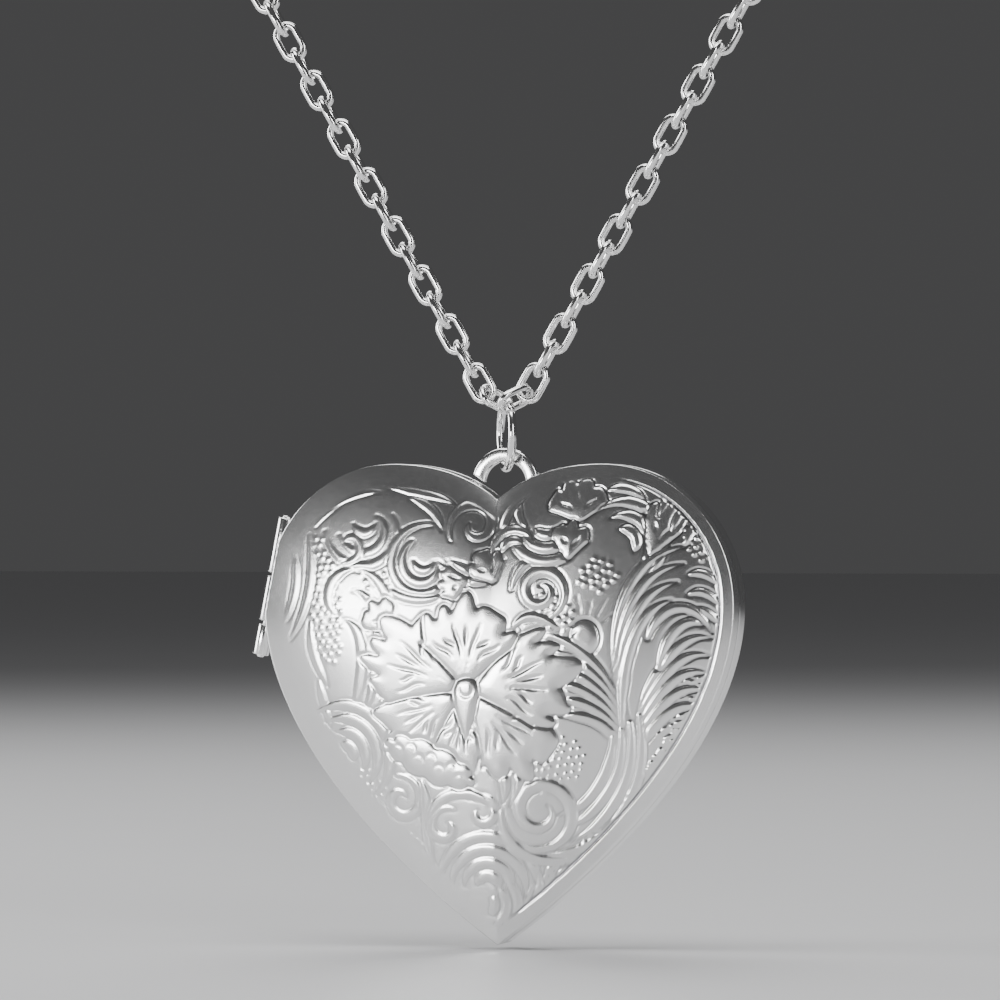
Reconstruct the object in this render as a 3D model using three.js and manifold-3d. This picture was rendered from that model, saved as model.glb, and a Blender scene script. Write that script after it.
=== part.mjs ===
// A hinged heart locket hanging from the two arms of a cable chain.
// Millimetres, +Z up. The locket faces -Y. The origin lies midway between the two held chain ends.
import * as THREE from 'three';
import { mergeVertices } from 'three/addons/utils/BufferGeometryUtils.js';
import Module from 'manifold-3d';

const wasm = await Module();
wasm.setup();

// ---- driving dimensions -------------------------------------------------------------------------

// Heart outline. Heights are measured from the level of its greatest width.
const HALF_WIDTH = 20.2;
const LOBE_X = 8.9;
const LOBE_RISE = 11.75;
const CLEFT_RISE = 8.8;
const CLEFT_ANGLE = 40;
const TIP_DROP = 28.2;
const TIP_ANGLE = 54;
const LOFT_CENTRE_DROP = 3;

// How far the outline's curves are pulled along their ends: the first two as shares of LOBE_X, the last
// two as shares of TIP_DROP. QUARTER_ROUND makes a curve as round as a quarter of an ellipse.
const CLEFT_PULL = 0.33;
const LOBE_PULL = 0.58;
const SIDE_PULL = 0.408;
const TIP_PULL = 0.337;
const QUARTER_ROUND = 0.5523;

// Facets
const OUTLINE_STEPS = 32;
const BAIL_SIDES = 28;
const KNUCKLE_SIDES = 16;
const SEAT_SIDES = 20;
const PIN_SIDES = 12;
const JUMP_RING_SIDES = 20;
const JUMP_RING_WIRE_SIDES = 8;
const END_RING_SIDES = 16;
const LINK_SIDES = 12;
const WIRE_SIDES = 6;
const CLASP_SIDES = 20;
const EYE_SIDES = 10;

// Covers
const COVER_WALL = 2;
const DOME_RISE = 1.9;
const DOME_FULLNESS = 2.6;
const SHEET = 0.6;
const PARTING_GAP = 0.12;
const DOME_RINGS = [0.3, 0.55, 0.76, 0.9];

// Photo frames
const FRAME_WIDTH = 2;
const FRAME_DEPTH = 0.45;
const FRAME_CLEARANCE = 0.15;
const FRAME_SET_BACK = 0.85;

// Cover hinge
const HINGE_LEVEL = 1.5;
const HINGE_LEAN = 11;
const HINGE_OVERHANG = 0.1;
const KNUCKLE_RADIUS = 0.7;
const KNUCKLE_TOP = 4.7;
const KNUCKLE_MIDDLE = 3.8;
const KNUCKLE_BOTTOM = 2.6;
const KNUCKLE_GAP = 0.3;
const PIN_RADIUS = 0.3;
const PIN_CLEARANCE = 0.06;
const PIN_PROUD = 0.2;
const HINGE_SEAT_CLEARANCE = 0.2;
const HINGE_SEAT_INSET = 0.3;
const HINGE_SEAT_DEPTH = 2.6;

// Latch
const LATCH_LENGTH = 3.6;
const LATCH_THICK = 0.4;
const LATCH_REACH = 0.3;
const LATCH_ROOT = 0.7;
const LATCH_LEVEL = 0;
const LATCH_CLEARANCE = 0.12;
const CATCH_DEPTH = 0.25;

// Bail
const BAIL_RADIUS = 2.9;
const BAIL_HOLE = 1.75;
const BAIL_THICK = 0.9;
const BAIL_RISE = 10.2;
const BAIL_BACK = 0.9;
const BAIL_SEAT_GAP = 0.1;

// Jump ring
const RING_WIRE = 0.75;
const RING_RADIUS = 2.825;
const RING_TURN = 25;
const RING_GAP = 0.14;

// Chain
const LINK_WIRE = 0.62;
const LINK_WIDTH = 2.4;
const LINK_LENGTH = 3.66;
const LINK_ROWS = 18;
const LINK_GAP = 0.05;
const CHAIN_LEAN = 29.9;

// Lowest link of the right arm: which way it points and how far it is turned. Its centre and the next
// link's are measured from the top of the jump ring, counted in half lengths of a link.
const LOW_LINK_AXIS = new THREE.Vector3(1.76, 1.56, 1);
const LOW_LINK_TWIST = 56.5;
const LOW_LINK_SEAT = new THREE.Vector3(0.5855, -0.3355, 0.0592);
const SECOND_LINK_SEAT = new THREE.Vector3(1.5, 0, 0.9342);

// Held ends and clasp
const END_WIRE = 0.7;
const END_RADIUS = 1.7;
const CLASP_LENGTH = 9;
const CLASP_WIDTH = 5.4;
const CLASP_THICK = 1.9;
const CLASP_BAR = 1.25;
const CLASP_EYE = 0.65;
const CLASP_EYE_BAR = 0.6;
const CLASP_EYE_THICK = 1.14;
const PIVOT_SHARE = 0.34;
const NOSE_SHARE = 0.8;
const LEVER_THICK = 0.9;
const LEVER_BAR = 0.9;
const LEVER_CLEARANCE = 0.15;
const LEVER_PIN = 0.3;
const SPRING_THICK = 0.15;
const SPRING_SHARE = 0.13;

// ---- materials ----------------------------------------------------------------------------------

const SILVER = new THREE.MeshStandardMaterial({ color: 0xd6d6d8, roughness: 0.18, metalness: 1 });
const STEEL = new THREE.MeshStandardMaterial({ color: 0x9b9da1, roughness: 0.3, metalness: 1 });

// ---- helpers ------------------------------------------------------------------------------------

const degrees = THREE.MathUtils.degToRad;
const Y_AXIS = new THREE.Vector3(0, 1, 0);
const Z_AXIS = new THREE.Vector3(0, 0, 1);

const locket = new THREE.Group();

function add(parent, name, geometry, material = SILVER) {
  const mesh = new THREE.Mesh(geometry, material);
  mesh.name = name;
  parent.add(mesh);
  return mesh;
}

// A geometry with shared corners merged and its collapsed triangles left out.
function welded(geometry) {
  const bare = geometry.clone();
  bare.deleteAttribute('normal');
  bare.deleteAttribute('uv');
  const merged = mergeVertices(bare, 1e-4);
  const index = merged.index.array;
  const kept = [];
  for (let i = 0; i < index.length; i += 3) {
    const [a, b, c] = [index[i], index[i + 1], index[i + 2]];
    if (a !== b && b !== c && c !== a) {
      kept.push(a, b, c);
    }
  }
  merged.setIndex(kept);
  return merged;
}

function signedVolume(geometry) {
  const place = geometry.attributes.position;
  const index = geometry.index.array;
  const corner = [new THREE.Vector3(), new THREE.Vector3(), new THREE.Vector3()];
  let volume = 0;
  for (let i = 0; i < index.length; i += 3) {
    corner.forEach((point, k) => point.fromBufferAttribute(place, index[i + k]));
    volume += corner[0].dot(corner[1].clone().cross(corner[2])) / 6;
  }
  return volume;
}

// The same closed surface with its faces turned outward.
function facingOut(geometry) {
  const closed = welded(geometry);
  if (signedVolume(closed) < 0) {
    closed.setIndex(Array.from(closed.index.array).reverse());
  }
  return closed;
}

function toSolid(geometry) {
  const closed = facingOut(geometry);
  return new wasm.Manifold(new wasm.Mesh({
    numProp: 3,
    vertProperties: Float32Array.from(closed.attributes.position.array),
    triVerts: Uint32Array.from(closed.index.array),
  }));
}

function fromSolid(solid) {
  const mesh = solid.getMesh();
  const geometry = new THREE.BufferGeometry();
  geometry.setAttribute('position', new THREE.BufferAttribute(Float32Array.from(mesh.vertProperties), 3));
  geometry.setIndex(Array.from(mesh.triVerts));
  return geometry;
}

// A cylinder along `axis`, centred on `centre`.
function rod(radius, length, sides, centre, axis) {
  const turn = new THREE.Quaternion().setFromUnitVectors(Y_AXIS, axis);
  const cylinder = new THREE.CylinderGeometry(radius, radius, length, sides);
  return cylinder.applyQuaternion(turn).translate(centre.x, centre.y, centre.z);
}

// A tube along `axis`: a lathe of its closed rectangular section.
function sleeve(inner, outer, length, sides, centre, axis) {
  const section = [
    new THREE.Vector2(inner, -length / 2),
    new THREE.Vector2(outer, -length / 2),
    new THREE.Vector2(outer, length / 2),
    new THREE.Vector2(inner, length / 2),
    new THREE.Vector2(inner, -length / 2),
  ];
  const turn = new THREE.Quaternion().setFromUnitVectors(Y_AXIS, axis);
  const tube = new THREE.LatheGeometry(section, sides);
  return facingOut(tube.applyQuaternion(turn).translate(centre.x, centre.y, centre.z));
}

// ---- heart outline ------------------------------------------------------------------------------

// One half of the heart, from the cleft over the lobe and down to the tip.
function halfHeart() {
  const cleft = new THREE.Vector2(0, CLEFT_RISE);
  const lobe = new THREE.Vector2(LOBE_X, LOBE_RISE);
  const side = new THREE.Vector2(HALF_WIDTH, 0);
  const tip = new THREE.Vector2(0, -TIP_DROP);
  const cleftReach = LOBE_X * CLEFT_PULL;
  const tipReach = TIP_DROP * TIP_PULL;
  const path = new THREE.CurvePath();
  path.add(new THREE.CubicBezierCurve(
    cleft,
    new THREE.Vector2(
      cleftReach * Math.cos(degrees(CLEFT_ANGLE)),
      CLEFT_RISE + cleftReach * Math.sin(degrees(CLEFT_ANGLE)),
    ),
    new THREE.Vector2(LOBE_X * LOBE_PULL, LOBE_RISE),
    lobe,
  ));
  path.add(new THREE.CubicBezierCurve(
    lobe,
    new THREE.Vector2(LOBE_X + (HALF_WIDTH - LOBE_X) * QUARTER_ROUND, LOBE_RISE),
    new THREE.Vector2(HALF_WIDTH, LOBE_RISE * QUARTER_ROUND),
    side,
  ));
  path.add(new THREE.CubicBezierCurve(
    side,
    new THREE.Vector2(HALF_WIDTH, -TIP_DROP * SIDE_PULL),
    new THREE.Vector2(
      tipReach * Math.sin(degrees(TIP_ANGLE)),
      -TIP_DROP + tipReach * Math.cos(degrees(TIP_ANGLE)),
    ),
    tip,
  ));
  return path.getSpacedPoints(OUTLINE_STEPS);
}

// The whole outline, clockwise seen from the front, with the cleft first and no point twice.
function heartOutline() {
  const right = halfHeart();
  const left = right.slice(1, -1).reverse().map((point) => new THREE.Vector2(-point.x, point.y));
  return [...right, ...left];
}

const OUTLINE = heartOutline();

// The outline moved inward by `distance`, with mitred corners.
function insetOutline(distance) {
  const count = OUTLINE.length;
  return OUTLINE.map((point, i) => {
    const before = OUTLINE[(i + count - 1) % count];
    const after = OUTLINE[(i + 1) % count];
    const first = new THREE.Vector2(before.y - point.y, point.x - before.x).normalize();
    const second = new THREE.Vector2(point.y - after.y, after.x - point.x).normalize();
    const mitre = first.clone().add(second).divideScalar(1 + first.dot(second));
    return point.clone().addScaledVector(mitre, -distance);
  });
}

// A lathe whose round rings are drawn out to the heart. Each ring states how far its outline is inset,
// what share of the way from the centre it lies, and its depth along Y.
function heartLathe(rings) {
  const profile = rings.map((ring) => new THREE.Vector2(ring.share, ring.depth));
  const lathe = new THREE.LatheGeometry(profile, OUTLINE.length);
  const outlines = rings.map((ring) => insetOutline(ring.inset));
  const place = lathe.attributes.position;
  for (let i = 0; i < place.count; i += 1) {
    const ring = rings[i % rings.length];
    const step = Math.floor(i / rings.length) % OUTLINE.length;
    const edge = outlines[i % rings.length][step];
    const x = edge.x * ring.share;
    const z = (edge.y + LOFT_CENTRE_DROP) * ring.share - LOFT_CENTRE_DROP;
    place.setXYZ(i, x, ring.depth, z);
  }
  return facingOut(lathe);
}

function heartPlate(inset, near, far) {
  return heartLathe([
    { inset, share: 0, depth: near },
    { inset, share: 1, depth: near },
    { inset, share: 1, depth: far },
    { inset, share: 0, depth: far },
  ]);
}

// ---- locket body --------------------------------------------------------------------------------

const body = new THREE.Group();
locket.add(body);

// Height of the dome at a share of the way from the centre to the edge.
function domeRise(share) {
  return DOME_RISE * (1 - share ** DOME_FULLNESS);
}

// A domed cover open towards the parting plane. `side` is -1 for the front and 1 for the back.
function cover(side) {
  const lip = side * PARTING_GAP / 2;
  const edge = side * COVER_WALL;
  const sheet = side * SHEET;
  const outside = [0, ...DOME_RINGS].map((share) => (
    { inset: 0, share, depth: edge + side * domeRise(share) }
  ));
  const inside = [0, ...DOME_RINGS].map((share) => (
    { inset: SHEET, share, depth: edge - sheet + side * domeRise(share) }
  ));
  return heartLathe([
    ...outside,
    { inset: 0, share: 1, depth: edge },
    { inset: 0, share: 1, depth: lip },
    { inset: SHEET, share: 1, depth: lip },
    { inset: SHEET, share: 1, depth: edge - sheet },
    ...inside.reverse(),
  ]);
}

const hingeAxis = new THREE.Vector3(Math.sin(degrees(HINGE_LEAN)), 0, Math.cos(degrees(HINGE_LEAN)));
const hingeOut = new THREE.Vector3(-hingeAxis.z, 0, hingeAxis.x);

// How far the outline stands out on the hinge side, measured square to the hinge.
const hingeReach = Math.max(...OUTLINE.map((point) => point.x * hingeOut.x + point.y * hingeOut.z));
const hingeFoot = hingeOut.clone().multiplyScalar(hingeReach - HINGE_OVERHANG);
const hingeCentre = hingeFoot.clone().addScaledVector(hingeAxis, (HINGE_LEVEL - hingeFoot.z) / hingeAxis.z);
const hingeLength = KNUCKLE_TOP + KNUCKLE_MIDDLE + KNUCKLE_BOTTOM + 2 * KNUCKLE_GAP;

function onHinge(along) {
  return hingeCentre.clone().addScaledVector(hingeAxis, along);
}

// The room that the knuckles take out of both covers' rims.
function hingeSeat() {
  const radius = KNUCKLE_RADIUS + HINGE_SEAT_CLEARANCE;
  const length = hingeLength + 2 * KNUCKLE_GAP;
  const bed = toSolid(rod(radius, length, SEAT_SIDES, hingeCentre, hingeAxis));
  const flat = new THREE.BoxGeometry(HALF_WIDTH, 2 * HINGE_SEAT_DEPTH, length);
  flat.translate(HINGE_SEAT_INSET - HALF_WIDTH / 2, 0, 0);
  flat.applyQuaternion(new THREE.Quaternion().setFromUnitVectors(Z_AXIS, hingeAxis));
  flat.translate(hingeCentre.x, hingeCentre.y, hingeCentre.z);
  return bed.add(toSolid(flat));
}

const seat = hingeSeat();
const frontCover = toSolid(cover(-1)).subtract(seat);
const backCover = toSolid(cover(1)).subtract(seat);
add(body, 'front_cover', fromSolid(frontCover));
add(body, 'back_cover', fromSolid(backCover));

// A flat heart-shaped ring that holds a picture down, just inside a cover's straight wall.
function photoFrame(side) {
  const near = side * FRAME_SET_BACK;
  const far = side * (FRAME_SET_BACK + FRAME_DEPTH);
  const outer = SHEET + FRAME_CLEARANCE;
  const inner = outer + FRAME_WIDTH;
  return heartLathe([
    { inset: outer, share: 1, depth: near },
    { inset: outer, share: 1, depth: far },
    { inset: inner, share: 1, depth: far },
    { inset: inner, share: 1, depth: near },
    { inset: outer, share: 1, depth: near },
  ]);
}

add(body, 'front_photo_frame', photoFrame(-1));
add(body, 'back_photo_frame', photoFrame(1));

// Knuckles from the top down, each on the cover it is soldered to.
const knuckles = [
  ['hinge_knuckle_top', KNUCKLE_TOP],
  ['hinge_knuckle_middle', KNUCKLE_MIDDLE],
  ['hinge_knuckle_bottom', KNUCKLE_BOTTOM],
];
let along = hingeLength / 2;
for (const [name, length] of knuckles) {
  const centre = onHinge(along - length / 2);
  const bore = PIN_RADIUS + PIN_CLEARANCE;
  add(body, name, sleeve(bore, KNUCKLE_RADIUS, length, KNUCKLE_SIDES, centre, hingeAxis));
  along -= length + KNUCKLE_GAP;
}
const pinLength = hingeLength + 2 * PIN_PROUD;
add(body, 'hinge_pin', rod(PIN_RADIUS, pinLength, PIN_SIDES, hingeCentre, hingeAxis), STEEL);

// The tongue is soldered inside the front cover's right rim and reaches past the parting plane. The
// catch is a rib inside the back cover's rim, just beyond the tongue's end.
const latchX = HALF_WIDTH - SHEET - 2 * LATCH_CLEARANCE - LATCH_THICK / 2;
const tongue = new THREE.BoxGeometry(LATCH_THICK, LATCH_ROOT + LATCH_REACH, LATCH_LENGTH);
tongue.translate(latchX, (LATCH_REACH - LATCH_ROOT) / 2, LATCH_LEVEL);
add(body, 'latch_tongue', tongue);
const catchRib = new THREE.BoxGeometry(LATCH_THICK, CATCH_DEPTH, LATCH_LENGTH);
catchRib.translate(latchX, LATCH_REACH + LATCH_CLEARANCE + CATCH_DEPTH / 2, LATCH_LEVEL);
add(body, 'latch_catch', catchRib);

// The bail: a flat ring on edge behind the front rim, its foot shaped to the cleft.
function bail() {
  const centre = new THREE.Vector3(0, BAIL_BACK, BAIL_RISE);
  const ring = sleeve(BAIL_HOLE, BAIL_RADIUS, BAIL_THICK, BAIL_SIDES, centre, Y_AXIS);
  const covers = toSolid(heartPlate(-BAIL_SEAT_GAP, -2 * COVER_WALL, 2 * COVER_WALL));
  return toSolid(ring).subtract(covers);
}
add(body, 'bail', fromSolid(bail()));

// ---- jump ring ----------------------------------------------------------------------------------

const ringBottom = BAIL_RISE + BAIL_HOLE - RING_WIRE / 2 - RING_GAP;
const ringCentre = new THREE.Vector3(0, BAIL_BACK, ringBottom + RING_RADIUS);
const ringTop = ringCentre.clone().setZ(ringCentre.z + RING_RADIUS);
const jumpRing = new THREE.TorusGeometry(RING_RADIUS, RING_WIRE / 2, JUMP_RING_WIRE_SIDES, JUMP_RING_SIDES);
jumpRing.rotateY(Math.PI / 2).rotateZ(degrees(RING_TURN));
jumpRing.translate(ringCentre.x, ringCentre.y, ringCentre.z);
add(locket, 'jump_ring', facingOut(jumpRing));

// ---- chain --------------------------------------------------------------------------------------

// An oval link standing along +Z in the XZ plane: a torus pulled apart at its middle.
function linkGeometry() {
  const radius = (LINK_WIDTH - LINK_WIRE) / 2;
  const stretch = (LINK_LENGTH - LINK_WIDTH) / 2;
  const torus = new THREE.TorusGeometry(radius, LINK_WIRE / 2, WIRE_SIDES, LINK_SIDES);
  torus.rotateZ(Math.PI / LINK_SIDES);
  const place = torus.attributes.position;
  for (let i = 0; i < place.count; i += 1) {
    place.setY(i, place.getY(i) + Math.sign(place.getY(i)) * stretch);
  }
  return facingOut(torus.rotateX(Math.PI / 2));
}

const linkHalf = (LINK_LENGTH - LINK_WIRE) / 2;
const linkPitch = 2 * linkHalf - LINK_WIRE - LINK_GAP;

// Unit vector up the arm on the given side: -1 left, 1 right.
function armDirection(side) {
  return new THREE.Vector3(side * Math.sin(degrees(CHAIN_LEAN)), 0, Math.cos(degrees(CHAIN_LEAN)));
}

// Turns a place or direction of the right arm into the same on either arm.
function onArm(side, vector) {
  return vector.clone().multiply(new THREE.Vector3(side, side, 1));
}

function linkCentre(side, row) {
  const second = ringTop.clone().addScaledVector(onArm(side, SECOND_LINK_SEAT), linkHalf);
  return second.addScaledVector(armDirection(side), (row - 2) * linkPitch);
}

// Places a link with its length along `up` and its width along `across`.
function placeLink(mesh, centre, up, across) {
  const z = up.clone().normalize();
  const x = across.clone().addScaledVector(z, -across.dot(z)).normalize();
  const y = z.clone().cross(x);
  mesh.quaternion.setFromRotationMatrix(new THREE.Matrix4().makeBasis(x, y, z));
  mesh.position.copy(centre);
}

function placeLowLink(mesh, side) {
  const lowAxis = LOW_LINK_AXIS.clone().normalize();
  const level = new THREE.Vector3(lowAxis.z, 0, -lowAxis.x).normalize();
  const normal = lowAxis.clone().cross(level);
  const twist = degrees(LOW_LINK_TWIST);
  const across = level.multiplyScalar(Math.cos(twist)).addScaledVector(normal, Math.sin(twist));
  const centre = ringTop.clone().addScaledVector(onArm(side, LOW_LINK_SEAT), linkHalf);
  placeLink(mesh, centre, onArm(side, lowAxis), onArm(side, across));
}

const arms = [['left', -1], ['right', 1]];
for (const [name, side] of arms) {
  for (let row = 1; row <= LINK_ROWS; row += 1) {
    const link = add(locket, `${name}_link_${String(row).padStart(2, '0')}`, linkGeometry());
    const up = armDirection(side);
    const faceOn = row % 2 === 0;
    if (row === 1) {
      placeLowLink(link, side);
    } else {
      placeLink(link, linkCentre(side, row), up, faceOn ? Y_AXIS.clone().cross(up) : Y_AXIS);
    }
  }
}

// ---- held ends ----------------------------------------------------------------------------------

const endRise = linkHalf - (LINK_WIRE + END_WIRE) / 2 - LINK_GAP + END_RADIUS;

function endCentre(side) {
  return linkCentre(side, LINK_ROWS).addScaledVector(armDirection(side), endRise);
}

for (const [name, side] of arms) {
  const torus = new THREE.TorusGeometry(END_RADIUS, END_WIRE / 2, WIRE_SIDES, END_RING_SIDES);
  const ring = add(locket, `${name}_end_ring`, facingOut(torus.rotateX(Math.PI / 2)));
  placeLink(ring, endCentre(side), armDirection(side), Y_AXIS);
}

// The clasp stands along +Z in the XZ plane, with its eye's centre at its own origin.
const clasp = new THREE.Group();
locket.add(clasp);
placeLink(
  clasp,
  endCentre(-1).addScaledVector(
    armDirection(-1), END_RADIUS - END_WIRE / 2 - LINK_GAP - CLASP_EYE_BAR / 2 + CLASP_EYE,
  ),
  armDirection(-1),
  Y_AXIS.clone().cross(armDirection(-1)),
);

// A flat outline in the XZ plane given a thickness along Y, centred on it.
function slab(shape, thick, sides) {
  const plate = new THREE.ExtrudeGeometry(shape, {
    depth: thick,
    bevelEnabled: false,
    curveSegments: sides,
  });
  return plate.translate(0, 0, -thick / 2).rotateX(Math.PI / 2);
}

const claspFoot = CLASP_EYE + CLASP_EYE_BAR / 4;
const claspMiddle = claspFoot + CLASP_LENGTH / 2;
const leverRise = claspFoot + CLASP_LENGTH * PIVOT_SHARE;
const leverPivot = new THREE.Vector3((CLASP_WIDTH - CLASP_BAR) / 2, 0, leverRise);
const gateFoot = leverPivot.z + CLASP_BAR / 2;
const gateHigh = claspFoot + CLASP_LENGTH * NOSE_SHARE;
const slotLow = leverPivot.z - CLASP_BAR / 2;

const springLength = CLASP_LENGTH * SPRING_SHARE;
const springZ = slotLow - springLength / 2;

function claspLoop(grow) {
  const loop = new THREE.Shape();
  loop.absellipse(0, claspMiddle, CLASP_WIDTH / 2 + grow, CLASP_LENGTH / 2 + grow, 0, Math.PI * 2);
  return loop;
}

// The hook: an oval loop with an eye below it, a gate in one side and a slot for the lever's foot.
function claspBody() {
  const eye = new THREE.Shape();
  eye.absarc(0, 0, CLASP_EYE + CLASP_EYE_BAR, 0, Math.PI * 2);
  const eyeHole = new THREE.Shape();
  eyeHole.absarc(0, 0, CLASP_EYE, 0, Math.PI * 2);
  const outside = toSolid(slab(claspLoop(0), CLASP_THICK, CLASP_SIDES));
  const hook = outside.add(toSolid(slab(eye, CLASP_EYE_THICK, EYE_SIDES)));
  const inside = slab(claspLoop(-CLASP_BAR), 2 * CLASP_THICK, CLASP_SIDES);
  const bore = slab(eyeHole, 2 * CLASP_THICK, EYE_SIDES);
  const gate = new THREE.BoxGeometry(CLASP_WIDTH, 2 * CLASP_THICK, gateHigh - gateFoot);
  gate.translate(CLASP_WIDTH / 2, 0, (gateHigh + gateFoot) / 2);
  const slotThick = LEVER_THICK + 2 * LEVER_CLEARANCE;
  const slot = new THREE.BoxGeometry(CLASP_WIDTH, slotThick, gateHigh - slotLow + 2 * LEVER_CLEARANCE);
  slot.translate(CLASP_WIDTH / 2, 0, (gateHigh + slotLow) / 2);
  const pocket = new THREE.BoxGeometry(CLASP_BAR, slotThick, springLength + 2 * LEVER_CLEARANCE);
  pocket.translate(leverPivot.x + CLASP_BAR / 2 - SPRING_THICK - LEVER_CLEARANCE, 0, springZ);
  const cuts = [inside, bore, gate, slot, pocket, leverHole()];
  return cuts.reduce((solid, cut) => solid.subtract(toSolid(cut)), hook);
}

// The bore that the pivot runs through, in the body and in the lever.
function leverHole() {
  return rod(LEVER_PIN + PIN_CLEARANCE, 2 * CLASP_THICK, PIN_SIDES, leverPivot, Y_AXIS);
}

// The lever closes the gate from its pivot up to the hook's nose.
function claspLever() {
  const outer = slab(claspLoop(-(CLASP_BAR - LEVER_BAR) / 2), LEVER_THICK, CLASP_SIDES);
  const inner = slab(claspLoop(-(CLASP_BAR + LEVER_BAR) / 2), 2 * LEVER_THICK, CLASP_SIDES);
  const band = toSolid(outer).subtract(toSolid(inner));
  const high = gateHigh - 2 * LEVER_CLEARANCE;
  const keep = new THREE.BoxGeometry(CLASP_WIDTH, 2 * LEVER_THICK, high - leverPivot.z);
  keep.translate(CLASP_WIDTH / 2 + CLASP_BAR / 2, 0, (high + leverPivot.z) / 2);
  const boss = rod(LEVER_BAR / 2 + LEVER_CLEARANCE, LEVER_THICK, KNUCKLE_SIDES, leverPivot, Y_AXIS);
  return band.intersect(toSolid(keep)).add(toSolid(boss)).subtract(toSolid(leverHole()));
}

add(clasp, 'clasp_body', fromSolid(claspBody()));
add(clasp, 'clasp_lever', fromSolid(claspLever()));
add(clasp, 'clasp_pivot', rod(LEVER_PIN, CLASP_THICK, PIN_SIDES, leverPivot, Y_AXIS), STEEL);

// The leaf spring stands in the pocket under the lever's foot.
const leaf = new THREE.BoxGeometry(SPRING_THICK, LEVER_THICK, springLength - LEVER_CLEARANCE);
add(clasp, 'clasp_spring', leaf.translate(leverPivot.x, 0, springZ - LEVER_CLEARANCE / 2), STEEL);

// ---- origin -------------------------------------------------------------------------------------

const held = endCentre(-1).add(endCentre(1)).multiplyScalar(0.5);
locket.position.copy(held.negate());

export default locket;
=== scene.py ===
import math

import bmesh
import bpy
import numpy as np
from mathutils import Matrix, Vector


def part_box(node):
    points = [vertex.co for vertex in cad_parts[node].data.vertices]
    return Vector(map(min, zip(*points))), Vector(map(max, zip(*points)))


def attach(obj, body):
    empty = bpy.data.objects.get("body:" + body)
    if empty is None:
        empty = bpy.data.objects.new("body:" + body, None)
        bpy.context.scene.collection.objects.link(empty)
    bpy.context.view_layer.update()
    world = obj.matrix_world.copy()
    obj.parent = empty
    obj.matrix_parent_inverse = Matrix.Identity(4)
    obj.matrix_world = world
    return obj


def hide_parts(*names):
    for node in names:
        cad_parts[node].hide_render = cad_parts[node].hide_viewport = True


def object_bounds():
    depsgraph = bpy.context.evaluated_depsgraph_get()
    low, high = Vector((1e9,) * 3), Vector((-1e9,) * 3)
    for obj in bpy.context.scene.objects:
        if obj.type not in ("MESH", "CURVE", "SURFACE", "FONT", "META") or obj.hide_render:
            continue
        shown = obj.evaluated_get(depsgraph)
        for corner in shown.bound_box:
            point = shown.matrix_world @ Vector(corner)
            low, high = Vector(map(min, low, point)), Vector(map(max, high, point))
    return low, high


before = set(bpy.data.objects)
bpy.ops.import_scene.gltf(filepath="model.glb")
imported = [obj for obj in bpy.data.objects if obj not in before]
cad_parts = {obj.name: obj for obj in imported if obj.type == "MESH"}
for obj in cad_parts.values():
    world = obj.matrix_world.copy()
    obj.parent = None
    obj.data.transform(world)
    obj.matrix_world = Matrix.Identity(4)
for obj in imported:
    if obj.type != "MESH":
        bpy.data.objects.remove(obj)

CAD_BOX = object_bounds()
MM = 0.001

# ---- sizes, in millimetres unless a name says otherwise ----------------------------------------

HALF_WIDTH = 20.2
LOBE_X = 8.9
LOBE_RISE = 11.75
CLEFT_RISE = 8.8
CLEFT_ANGLE = 40
TIP_DROP = 28.2
TIP_ANGLE = 54
LOFT_DROP = 3.0
CLEFT_PULL = 0.33
LOBE_PULL = 0.58
SIDE_PULL = 0.408
TIP_PULL = 0.337
QUARTER_ROUND = 0.5523

COVER_WALL = 2.0
DOME_RISE = 1.9
DOME_FULLNESS = 2.6
SHEET = 0.6
PARTING_GAP = 0.12
FACE_BLEND = 1.3
FACE_CELLS = 278
BACK_CELLS = 120
RIM_LEVELS = (1.9, 1.5, 1.1, 0.8, 0.45)
LIP_EASE = 0.08
INSIDE_SHARES = (0.97, 0.90, 0.78, 0.60, 0.40, 0.20)

CELL = 0.05
CLEAR = 0.4
RIM_BAND = 1.15
RIM_FADE = 0.3
LEFT_BAND = 0.8
LEFT_BAND_FROM = 6
RIM_LINE = 0.34
RIM_LINE_DEPTH = 0.14
RIM_LINE_TURNS = (-88, -84, 38, 54)
# How deep the work goes, from the left edge of the heart to its right edge.
DEPTH_ACROSS = (-20, -8, 0, 9, 16)
DEPTH_SHARE = (0.42, 0.55, 0.78, 1.0, 1.2)
RIBBON_HEIGHT = 0.085
RIBBON_SLOPE = 0.26
RIBBON_LINE = 0.26
RIBBON_LINE_DEPTH = 0.055
RIBBON_END = 0.12
PAD_LINE = 0.28
PAD_LINE_DEPTH = 0.085
HAIRLINE = 0.02
LEAF_HEIGHT = 0.09
LEAF_FOOT = 0.12
LEAF_WAIST = 0.46
LOBE_CUT = 0.2
GRAIN_RADIUS = 0.19
GRAIN_HEIGHT = 0.075
GRAIN_GAP = 0.66
GRAIN_SCATTER = 0.11

FRAME_WIDTH = 2.0
FRAME_DEPTH = 0.45
FRAME_CLEARANCE = 0.15
FRAME_SET_BACK = 0.85
FRAME_EASE = 0.1

HINGE_LEAN = 11
HINGE_SEAT = 0.9
HINGE_SEAT_INSET = 0.3
HINGE_SEAT_DEPTH = 2.6
HINGE_SEAT_SLACK = 0.25
KNUCKLE_RADIUS = 0.7
PIN_RADIUS = 0.3
PIN_CLEARANCE = 0.06
HINGE_EASE = 0.12

BAIL_RADIUS = 2.9
BAIL_HOLE = 1.75
BAIL_THICK = 0.9
BAIL_RISE = 10.2
BAIL_EASE = 0.26
BAIL_FOOT_SLACK = 4
BAIL_FOOT_GAP = 0.14

RING_WIRE = 0.75
RING_RADIUS = 2.825
RING_TURN = 25
RING_BUTT = 0.012

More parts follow.
